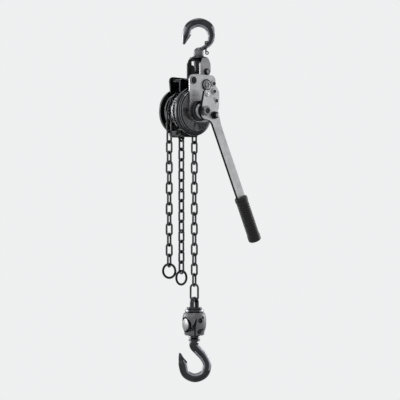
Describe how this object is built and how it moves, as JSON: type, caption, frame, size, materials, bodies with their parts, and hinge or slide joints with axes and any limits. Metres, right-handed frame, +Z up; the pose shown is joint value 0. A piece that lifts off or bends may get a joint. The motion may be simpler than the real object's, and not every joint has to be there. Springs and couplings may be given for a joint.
{
  "type": "lever chain hoist",
  "caption": "Ratchet lever chain hoist hanging from a swivel hook, with its chain over a pocket wheel, a long hand lever and a hook block below.",
  "frame": {"origin": "the point inside the top hook's bowl that the hoist hangs on", "axes": "+Z up along the hanging line, -Y towards the lever side, load chain on the +X side of the wheel, which turns about Y"},
  "size_m": [0.2528, 0.1265, 0.9125],
  "materials": {
    "plate_steel": "brushed plate steel",
    "forged_steel": "forged and polished",
    "bright_steel": "machined bright",
    "black_steel": "black painted",
    "dark_steel": "blackened",
    "chain_steel": "blackened and polished",
    "bearing_bronze": "plain bronze",
    "grip_rubber": "moulded black"
  },
  "bodies": {
    "hook": {"top_hook": "forged_steel", "hook_nut": "dark_steel", "latch_pin": "dark_steel"},
    "latch": {"top_latch": "dark_steel"},
    "frame": {"swivel_collar": "forged_steel", "top_yoke": "forged_steel", "yoke_pin": "dark_steel", "front_plate": "plate_steel", "rear_plate": "black_steel", "inner_plate": "black_steel", "rear_cover": "black_steel", "front_cover": "dark_steel", "rear_bearing": "bearing_bronze", "front_bearing": "bearing_bronze", "top_stay_bolt": "forged_steel", "upper_stay_bolt": "forged_steel", "pawl_pin": "forged_steel", "lower_stay_bolt": "forged_steel", "yoke_bolt": "dark_steel", "chain_guide": "black_steel", "guide_bolt_1": "dark_steel", "guide_bolt_2": "dark_steel"},
    "holding_pawl": {"holding_pawl": "forged_steel"},
    "load_wheel": {"load_wheel": "bright_steel", "wheel_chain": "chain_steel", "ratchet_wheel": "bright_steel", "pressure_plate": "forged_steel", "friction_disc": "dark_steel", "drive_shaft": "forged_steel", "drive_ratchet": "bright_steel", "shaft_nut": "forged_steel"},
    "lever": {"ratchet_housing": "dark_steel", "lever_arm": "plate_steel", "head_screw": "forged_steel", "lever_grip": "grip_rubber"},
    "drive_pawl": {"drive_pawl": "forged_steel"},
    "selector": {"selector_knob": "dark_steel"},
    "load_chain_1": {"load_chain_1": "chain_steel"},
    "load_chain_2": {"load_chain_2": "chain_steel"},
    "load_chain_3": {"load_chain_3": "chain_steel"},
    "load_chain_4": {"load_chain_4": "chain_steel"},
    "tail_chain_1": {"tail_chain_1": "chain_steel"},
    "tail_chain_2": {"tail_chain_2": "chain_steel"},
    "tail_chain_3": {"tail_chain_3": "chain_steel"},
    "tail_ring": {"tail_ring": "chain_steel"},
    "spare_chain_1": {"spare_chain_1": "chain_steel"},
    "spare_chain_2": {"spare_chain_2": "chain_steel"},
    "spare_chain_3": {"spare_chain_3": "chain_steel"},
    "spare_ring": {"spare_ring": "chain_steel"},
    "hook_block": {"chain_bail": "dark_steel", "block_collar": "forged_steel", "block_right": "plate_steel", "block_left": "plate_steel", "block_bolt_1": "dark_steel", "block_bolt_2": "dark_steel", "block_bolt_3": "dark_steel", "neck_ring": "forged_steel"},
    "bottom_hook": {"bottom_hook": "forged_steel", "bottom_hook_nut": "dark_steel"}
  },
  "joints": [
    {"name": "frame_swivel", "type": "hinge", "parent": "hook", "child": "frame", "pos_m": [0, 0, -0.0725], "axis": [0, 0, 1], "continuous": true},
    {"name": "latch_hinge", "type": "hinge", "parent": "hook", "child": "latch", "pos_m": [0.01382, -0.01289, -0.03978], "axis": [-0.682, -0.7314, 0], "range_deg": [-11, 8]},
    {"name": "lever_swing", "type": "hinge", "parent": "frame", "child": "lever", "pos_m": [-0.0375, -0.0545, -0.2125], "axis": [0, 1, 0], "range_deg": [-90, 90]},
    {"name": "drive_pawl_hinge", "type": "hinge", "parent": "lever", "child": "drive_pawl", "pos_m": [-0.03815, -0.0415, -0.19401], "axis": [0, 1, 0], "range_deg": [-8, 10]},
    {"name": "selector_turn", "type": "hinge", "parent": "lever", "child": "selector", "pos_m": [-0.005, -0.0615, -0.2225], "axis": [0, 1, 0], "range_deg": [-30, 30]},
    {"name": "load_wheel_spin", "type": "hinge", "parent": "frame", "child": "load_wheel", "pos_m": [-0.0375, 0.0215, -0.2125], "axis": [0, 1, 0], "range_deg": [-18, 18]},
    {"name": "holding_pawl_hinge", "type": "hinge", "parent": "frame", "child": "holding_pawl", "pos_m": [0.0165, 0.0007, -0.162], "axis": [0, 1, 0], "range_deg": [-5, 6]},
    {"name": "load_chain_lead", "type": "hinge", "parent": "load_wheel", "child": "load_chain_1", "pos_m": [0.00497, 0.0215, -0.21474], "axis": [0, 1, 0], "range_deg": [-18, 18]},
    {"name": "tail_chain_lead", "type": "hinge", "parent": "load_wheel", "child": "tail_chain_1", "pos_m": [-0.07997, 0.0215, -0.21474], "axis": [0, 1, 0], "range_deg": [-18, 18]},
    {"name": "load_chain_bend_2", "type": "hinge", "parent": "load_chain_1", "child": "load_chain_2", "pos_m": [0.00497, 0.0215, -0.34243], "axis": [1, 0, 0], "range_deg": [-4, 4]},
    {"name": "load_chain_bend_3", "type": "hinge", "parent": "load_chain_2", "child": "load_chain_3", "pos_m": [0.00497, 0.0215, -0.47014], "axis": [1, 0, 0], "range_deg": [-4, 4]},
    {"name": "load_chain_bend_4", "type": "hinge", "parent": "load_chain_3", "child": "load_chain_4", "pos_m": [0.00497, 0.0215, -0.57203], "axis": [1, 0, 0], "range_deg": [-4, 4]},
    {"name": "tail_chain_bend_2", "type": "hinge", "parent": "tail_chain_1", "child": "tail_chain_2", "pos_m": [-0.07997, 0.0215, -0.34243], "axis": [1, 0, 0], "range_deg": [-4, 4]},
    {"name": "tail_chain_bend_3", "type": "hinge", "parent": "tail_chain_2", "child": "tail_chain_3", "pos_m": [-0.07997, 0.0215, -0.47014], "axis": [1, 0, 0], "range_deg": [-4, 4]},
    {"name": "tail_ring_hang", "type": "hinge", "parent": "tail_chain_3", "child": "tail_ring", "pos_m": [-0.07997, 0.0215, -0.59784], "axis": [1, 0, 0], "range_deg": [-5, 5]},
    {"name": "spare_chain_hang", "type": "hinge", "parent": "frame", "child": "spare_chain_1", "pos_m": [-0.039, 0.0215, -0.28449], "axis": [1, 0, 0], "range_deg": [-4, 4]},
    {"name": "spare_chain_bend_2", "type": "hinge", "parent": "spare_chain_1", "child": "spare_chain_2", "pos_m": [-0.039, 0.0215, -0.4118], "axis": [1, 0, 0], "range_deg": [-4, 4]},
    {"name": "spare_chain_bend_3", "type": "hinge", "parent": "spare_chain_2", "child": "spare_chain_3", "pos_m": [-0.039, 0.0215, -0.5137], "axis": [1, 0, 0], "range_deg": [-4, 4]},
    {"name": "spare_ring_hang", "type": "hinge", "parent": "spare_chain_3", "child": "spare_ring", "pos_m": [-0.039, 0.0215, -0.6156], "axis": [1, 0, 0], "range_deg": [-5, 5]},
    {"name": "hook_block_hang", "type": "hinge", "parent": "load_chain_4", "child": "hook_block", "pos_m": [0.00497, 0.0215, -0.68514], "axis": [1, 0, 0], "range_deg": [-2.5, 2.5]},
    {"name": "bottom_hook_swivel", "type": "hinge", "parent": "hook_block", "child": "bottom_hook", "pos_m": [0.00497, 0.0215, -0.78714], "axis": [0, 0, 1], "continuous": true}
  ],
  "couplings": [
    {"joint": "load_chain_lead", "follows": "load_wheel_spin", "ratio": -1},
    {"joint": "tail_chain_lead", "follows": "load_wheel_spin", "ratio": -1}
  ]
}
